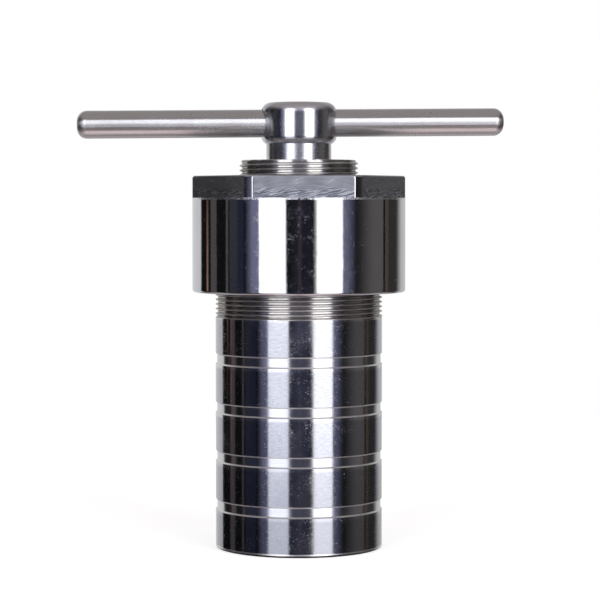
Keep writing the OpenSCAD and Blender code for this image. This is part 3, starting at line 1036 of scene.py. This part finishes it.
along = nodes.math("MULTIPLY", nodes.math("TANGENT", on_flat), hex_half)
up = nodes.math("SUBTRACT", parts.outputs["Z"], hex_z)
wave = nodes.math("SINE", nodes.math("MULTIPLY", along, 420.0))
low_part = nodes.ramp(nodes.math("MULTIPLY_ADD", wave, 0.0004, up), 0.0046, 0.0030)
cutter_path = long_side(nodes, along, nodes.math("ADD", up, cutter_sweep))
own_marks = nodes.math("MULTIPLY", flat_number, 0.31)
arc_place = nodes.add("ShaderNodeCombineXYZ", X=own_marks, Y=along, Z=cutter_path)
arcs = group(nodes, tool_marks, "Height", Place=arc_place, Run=0.012, Spacing=0.00045)
lines = group(nodes, hairlines, "Mask", Place=place, Length=0.009, Width=0.0003, Amount=1.5)
slanted = nodes.add("ShaderNodeVectorRotate", Vector=place, Axis=(0, 1, 0), Angle=math.radians(14))
burrs = group(nodes, tool_marks, "Height", Place=slanted, Run=0.0042, Spacing=0.00042)
haze = group(nodes, smudges, "Mask", Place=place, Size=0.006)
tone = nodes.blend(nodes.ramp(arcs, 0.3, 0.7), cut_dark, cut_light)
rough_band = nodes.blend(nodes.ramp(burrs, 0.40, 0.70), torn_dark, torn_light)
tone = nodes.blend(nodes.math("MULTIPLY", low_part, 0.85), tone, rough_band)
# Painted shade: the flats darken towards the left side.
tone = nodes.blend(nodes.ramp(parts.outputs["X"], -0.022, -0.036, 0.0, 0.5), tone, left_flat_shade_colour)
tone = nodes.blend(nodes.math("MULTIPLY", lines, 0.7), tone, scratch_colour)
nodes.put(shader, "Base Color", tone)
nodes.put(shader, "Roughness", nodes.math("MULTIPLY_ADD", haze, 0.06, 0.36))
low_burrs = nodes.math("MULTIPLY", burrs, low_part)
relief(nodes, shader, (arcs, 0.000008), (low_burrs, 0.00006), (lines, -0.00002))


def on_a_flat(c):
    turn = (math.atan2(c.y, c.x) + math.pi / 2 + sixth / 2) % sixth - sixth / 2
    return hex_z + near < c.z < cap_high.z - near and c.xy.length > chamber_r and (
        abs(turn) < corner - break_half / 2)


def on_top_face(c):
    return c.z > cap_high.z - 1.1 * near and c.xy.length < cap_r - cap_round


def in_cap_bore(c):
    return c.xy.length < chamber_r + near or (
        c.xy.length < cap_bore_r + relief_depth + near and c.z > cap_low.z + near)


coat(screw_cap, milled, on_a_flat)
coat(screw_cap, faced("polished_top", 0.1, 0.18, 0.00000417), on_top_face)
coat(screw_cap, bored, in_cap_bore)
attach(screw_cap, "cap")
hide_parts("screw_cap")

# ---------------------------------------------------------------------------
# The T-bar: drawn stainless bar with both ends turned round. It slides in the head's
# cross hole and hangs a little lower on its long side.
# ---------------------------------------------------------------------------
bar_len = 0.185
bar_shift = 0.0029
bar_tip_r = 0.0017
bar_rest_gap = 0.00013
bar_columns = np.linspace(0, 2 * math.pi, 128, endpoint=False)
bar_rings = 9
bar_droop = math.atan(2 * (bar_gap - bar_rest_gap) / (2 * head_r))
bar_round = bar_r - bar_tip_r

bar_place = (
    Matrix.Translation((0, 0, hole_z)) @ Matrix.Rotation(bar_turn, 4, "Z")
    @ Matrix.Rotation(math.pi / 2 - bar_droop, 4, "Y")
    @ Matrix.Translation((0, 0, -bar_len / 2 - bar_shift))
)
t_bar = turned("bar", [plain(
    (0, 0), *arc(bar_tip_r, bar_round, bar_round, -90, 0, 12),
    *[(bar_r, z) for z in np.linspace(bar_round, bar_len - bar_round, bar_rings)[1:-1]],
    *arc(bar_tip_r, bar_len - bar_round, bar_round, 0, 90, 12), (0, bar_len),
    angles=bar_columns,
)], closed=False)
t_bar.matrix_world = bar_place

# Drawn and barrelled: satin, a little warm, with a fine grain, nicks and long faint lines.
drawn_dark = (0.56, 0.55, 0.55, 1)
drawn_light = (0.68, 0.67, 0.68, 1)
drawn_haze = (0.68, 0.68, 0.70, 1)
pit_colour = (0.2, 0.19, 0.19, 1)
satin_bar, nodes, shader, place = steel("satin_drawn", stretch=1.0)
grain = nodes.add("ShaderNodeTexNoise", Vector=place, Scale=2600.0, Detail=2.0, Roughness=0.6)
grain = grain.outputs["Fac"]
grid = stretched(nodes, place, 0.0006, 0.03)
draw_lines = nodes.add("ShaderNodeTexNoise", Vector=grid, Scale=1.0, Detail=2.0, Roughness=0.6)
draw_lines = draw_lines.outputs["Fac"]
haze = group(nodes, smudges, "Mask", Place=place, Size=0.016)
spots = group(nodes, specks, "Mask", Place=place, Spacing=0.0022, Size=0.12, Share=0.16)
lines = group(nodes, hairlines, "Mask", Place=place, Length=0.004, Width=0.0003, Amount=0.7)
tone = nodes.blend(draw_lines, drawn_dark, drawn_light)
tone = nodes.blend(nodes.math("MULTIPLY", haze, 0.4), tone, drawn_haze)
tone = nodes.blend(spots, tone, pit_colour)
nodes.put(shader, "Base Color", nodes.blend(lines, tone, nick_colour))
gloss = nodes.math("MULTIPLY_ADD", grain, 0.1, 0.18)
nodes.put(shader, "Roughness", nodes.math("MULTIPLY_ADD", haze, 0.05, gloss))
relief(nodes, shader, (grain, 0.000014), (draw_lines, 0.000003), (spots, -0.00001))
coat(t_bar, satin_bar)
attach(t_bar, "bar")
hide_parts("t_bar")
